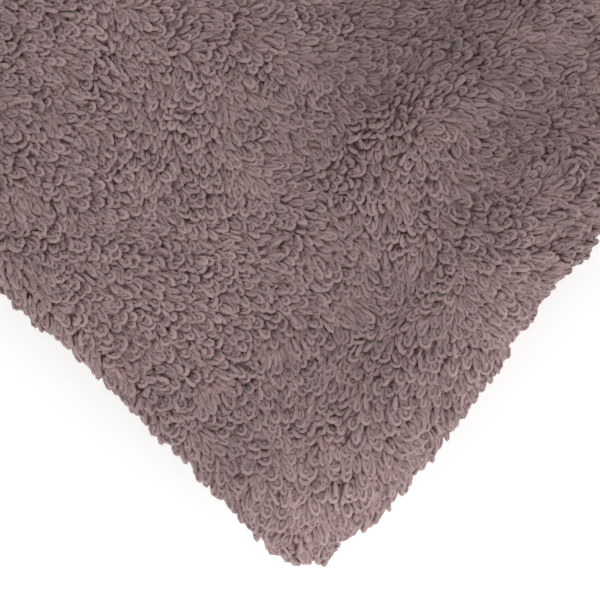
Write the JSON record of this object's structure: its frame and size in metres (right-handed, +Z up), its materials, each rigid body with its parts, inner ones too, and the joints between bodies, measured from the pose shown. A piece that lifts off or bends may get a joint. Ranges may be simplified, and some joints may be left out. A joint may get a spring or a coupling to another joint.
{
  "type": "folded bath towel",
  "caption": "Bath towel of looped terry cloth, doubled lengthwise, laid back and forth and resting flat as a soft square stack.",
  "frame": {"origin": "middle of the footprint, on the surface that the towel rests on", "axes": "+Z up through the layers, +X towards the two rolled turns, -Y towards the front, where each run's long fold lies"},
  "size_m": [0.3356, 0.3574, 0.0414],
  "materials": {
    "terry": "matt looped cotton pile"
  },
  "bodies": {
    "root": {"towel": "terry"}
  },
  "joints": []
}
